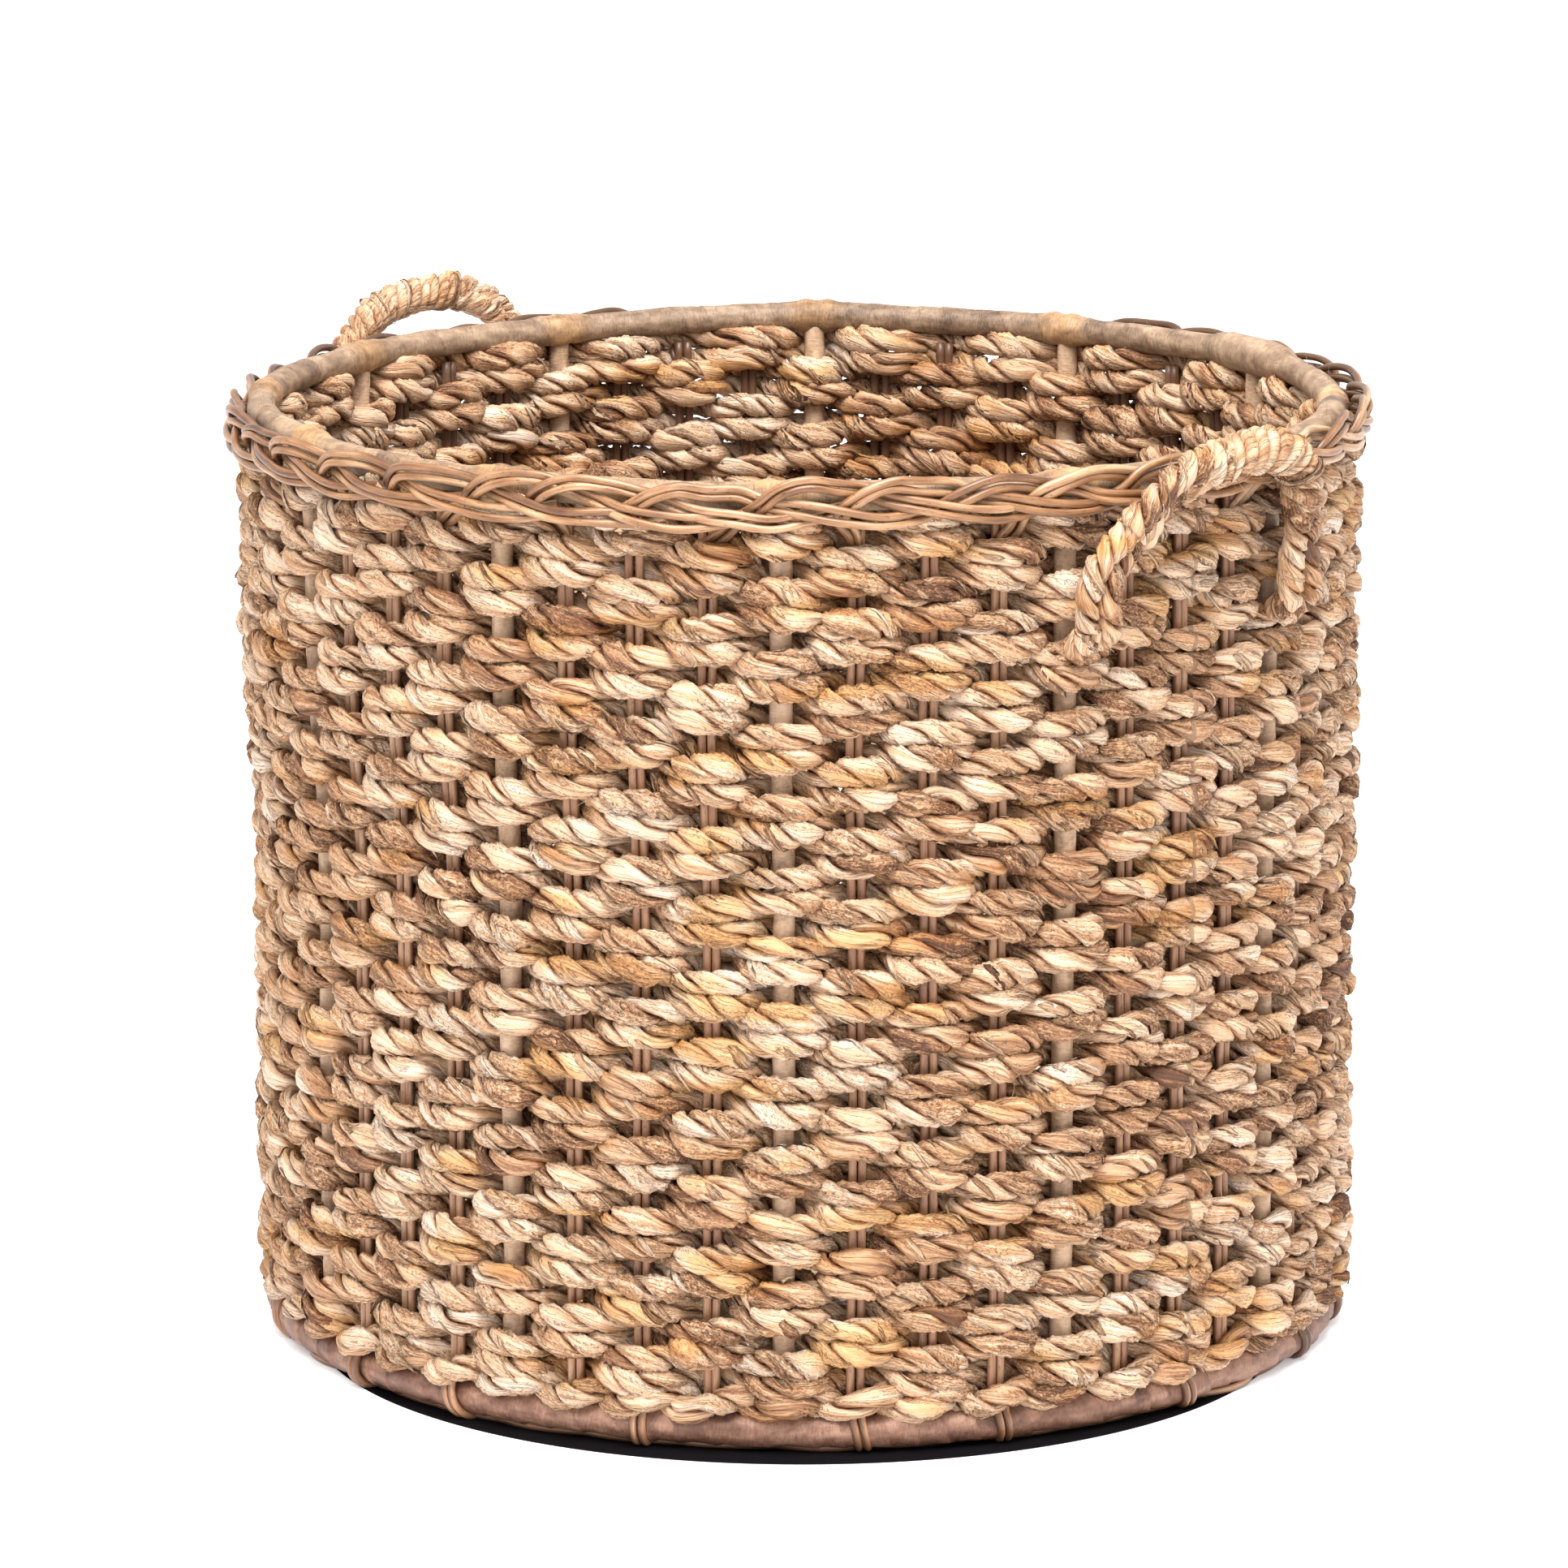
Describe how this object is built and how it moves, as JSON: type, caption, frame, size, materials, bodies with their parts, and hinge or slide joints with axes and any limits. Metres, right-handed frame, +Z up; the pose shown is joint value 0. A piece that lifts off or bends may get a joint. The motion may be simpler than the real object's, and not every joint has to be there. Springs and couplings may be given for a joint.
{
  "type": "storage basket",
  "caption": "Round open-topped storage basket of twisted seagrass rope woven on a cane frame, with a braided rattan rim and two rope loop handles.",
  "frame": {"origin": "centre of the foot, on the floor", "axes": "+Z up along the basket's axis; +X towards the right-hand handle, -X towards the left-hand one"},
  "size_m": [0.505, 0.4652, 0.4003],
  "materials": {
    "seagrass_rope": "coarse twisted dried seagrass, pale cream to tan and brown, with a slight sheen",
    "wrapped_post": "cane wrapped in a brown bark strip, satin",
    "rattan": "peeled rattan, light brown, semi-gloss",
    "top_hoop_wrap": "cane hoop wrapped in a greyish tan bark strip, satin",
    "base_hoop_wrap": "cane hoop wrapped in a mauve-brown bark strip with fine cross lines, satin",
    "handle_rope": "thick twisted seagrass rope with a strand-wound grip"
  },
  "bodies": {
    "basket": {"top_hoop": "top_hoop_wrap", "base_hoop": "base_hoop_wrap", "frame_post_01": "wrapped_post", "frame_post_02": "wrapped_post", "frame_post_03": "wrapped_post", "frame_post_04": "wrapped_post", "frame_post_05": "wrapped_post", "frame_post_06": "wrapped_post", "frame_post_07": "wrapped_post", "frame_post_08": "wrapped_post", "frame_post_09": "wrapped_post", "frame_post_10": "wrapped_post", "frame_post_11": "wrapped_post", "frame_post_12": "wrapped_post", "rattan_stakes_1": "rattan", "rattan_stakes_2": "rattan", "rattan_stakes_3": "rattan", "rattan_stakes_4": "rattan", "weft_row_01": "seagrass_rope", "weft_row_02": "seagrass_rope", "weft_row_03": "seagrass_rope", "weft_row_04": "seagrass_rope", "weft_row_05": "seagrass_rope", "weft_row_06": "seagrass_rope", "weft_row_07": "seagrass_rope", "weft_row_08": "seagrass_rope", "weft_row_09": "seagrass_rope", "weft_row_10": "seagrass_rope", "weft_row_11": "seagrass_rope", "weft_row_12": "seagrass_rope", "weft_row_13": "seagrass_rope", "weft_row_14": "seagrass_rope", "weft_row_15": "seagrass_rope", "weft_row_16": "seagrass_rope", "weft_row_17": "seagrass_rope", "weft_row_18": "seagrass_rope", "weft_row_19": "seagrass_rope", "weft_row_20": "seagrass_rope", "weft_row_21": "seagrass_rope", "weft_row_22": "seagrass_rope", "weft_row_23": "seagrass_rope", "weft_row_24": "seagrass_rope", "weft_row_25": "seagrass_rope", "bottom_twine": "seagrass_rope", "rim_border": "rattan", "foot_border": "rattan", "base_mat": "seagrass_rope", "base_centre_coil": "seagrass_rope", "base_spokes": "base_hoop_wrap", "base_hub": "base_hoop_wrap", "base_ties": "rattan", "handle_right_anchors": "handle_rope", "handle_left_anchors": "handle_rope"},
    "handle_right": {"handle_right_core": "handle_rope", "handle_right_grip": "handle_rope"},
    "handle_left": {"handle_left_core": "handle_rope", "handle_left_grip": "handle_rope"}
  },
  "joints": [
    {"name": "handle_right_bend", "type": "hinge", "parent": "basket", "child": "handle_right", "pos_m": [0.2315, 0, 0.32335], "axis": [0, 1, 0], "range_deg": [0, 70], "stiffness_Nm_per_rad": 0.2, "springref_deg": -5.73},
    {"name": "handle_left_bend", "type": "hinge", "parent": "basket", "child": "handle_left", "pos_m": [-0.2315, 0, 0.32335], "axis": [0, -1, 0], "range_deg": [0, 70], "stiffness_Nm_per_rad": 0.2, "springref_deg": -5.73}
  ]
}
